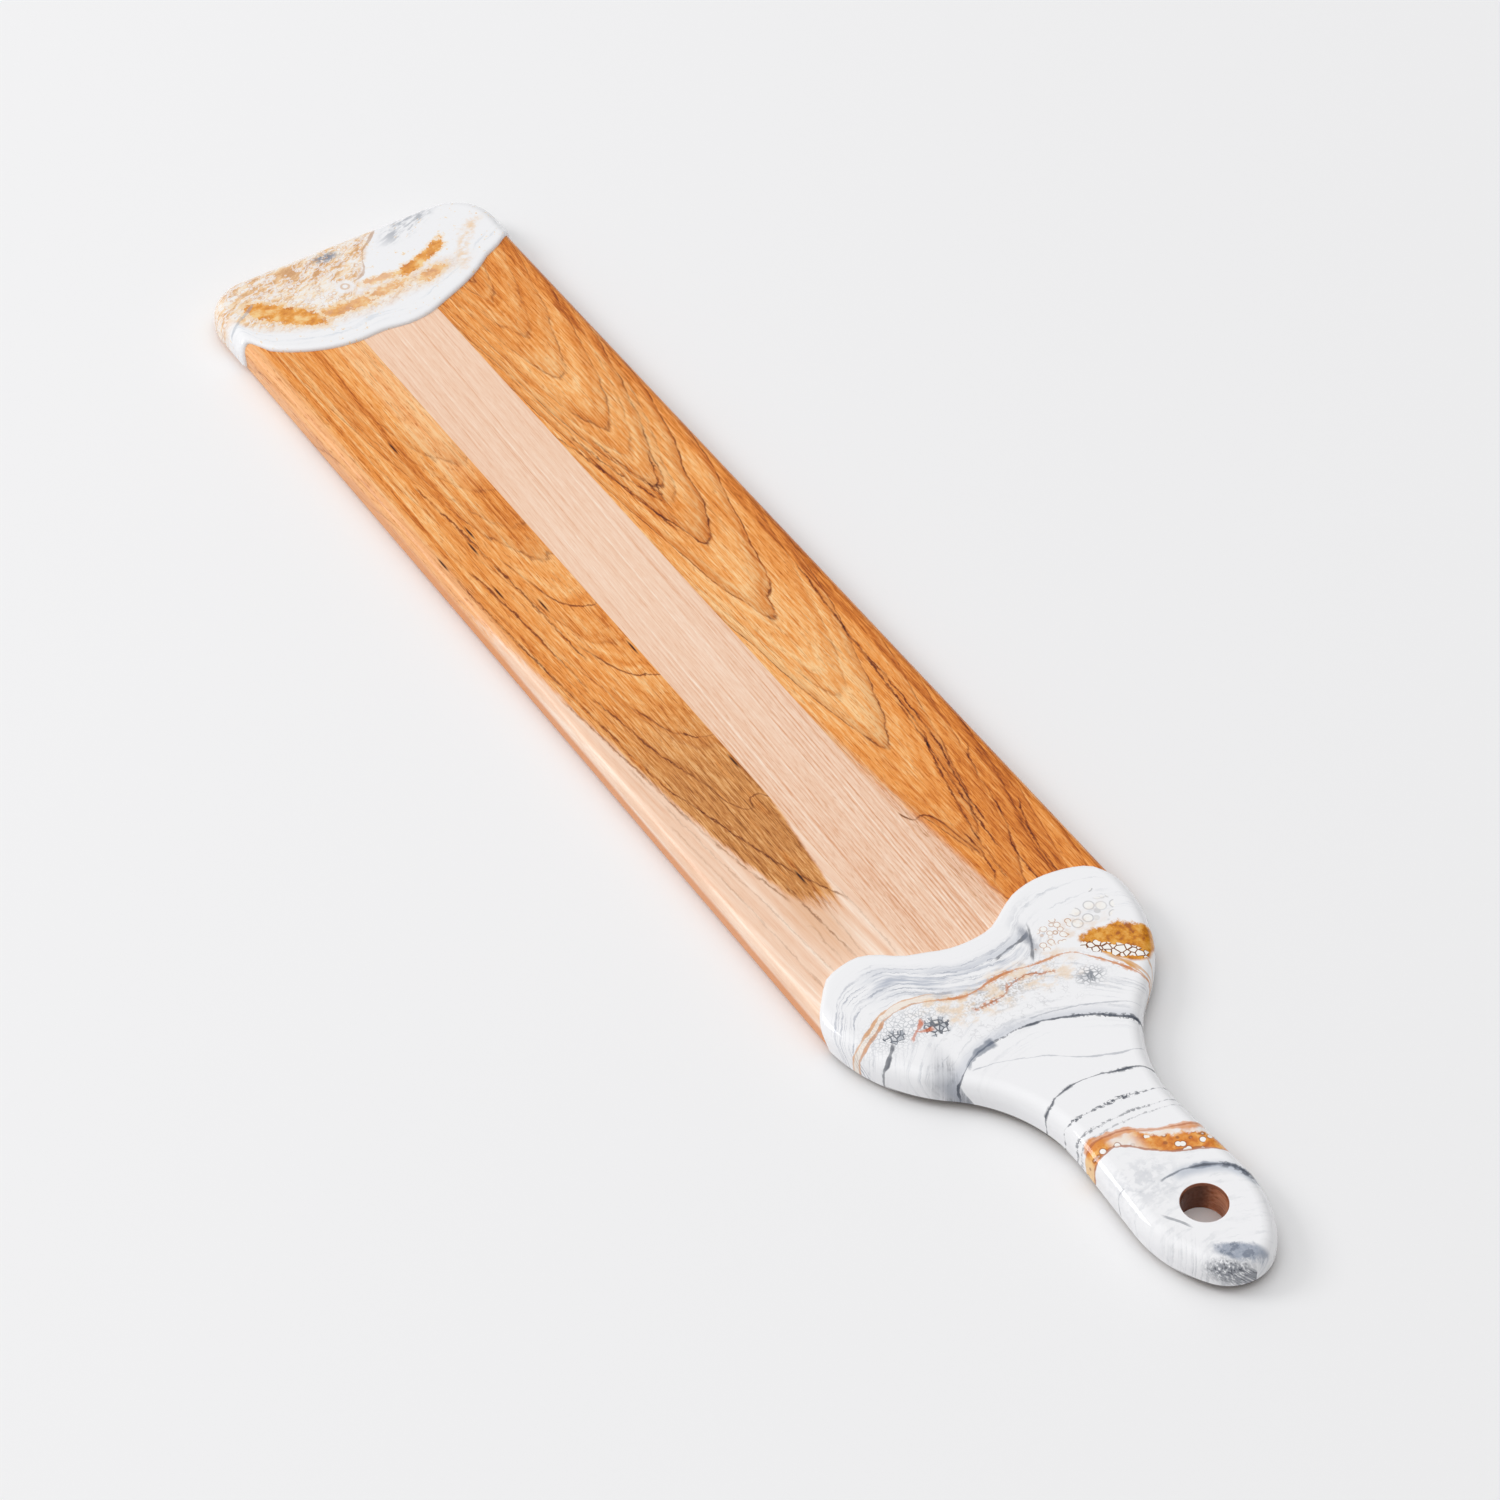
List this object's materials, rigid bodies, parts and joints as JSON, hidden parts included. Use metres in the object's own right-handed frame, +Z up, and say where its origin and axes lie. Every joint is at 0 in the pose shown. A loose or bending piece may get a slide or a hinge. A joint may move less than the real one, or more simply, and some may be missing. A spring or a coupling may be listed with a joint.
{
  "type": "paddle charcuterie board",
  "caption": "Long paddle-shaped wooden serving board of edge-glued staves, with marbled resin poured over its far end and over a rounded handle that has a hanging hole.",
  "frame": {"origin": "centre of the board's plan, on the underside that it rests on", "axes": "+X along the board towards the handle, +Y across the board, +Z up out of the serving face"},
  "size_m": [0.7556, 0.1556, 0.0158],
  "materials": {
    "left_wood": "oiled satin",
    "centre_wood": "oiled satin",
    "right_wood": "oiled satin",
    "glue": "thin dried film",
    "handle_resin": "gloss, marbled",
    "end_resin": "gloss, marbled"
  },
  "bodies": {
    "root": {"stave_left": "left_wood", "stave_centre": "centre_wood", "stave_right": "right_wood", "glue_left": "glue", "glue_right": "glue", "resin_handle": "handle_resin", "resin_end": "end_resin"}
  },
  "joints": []
}
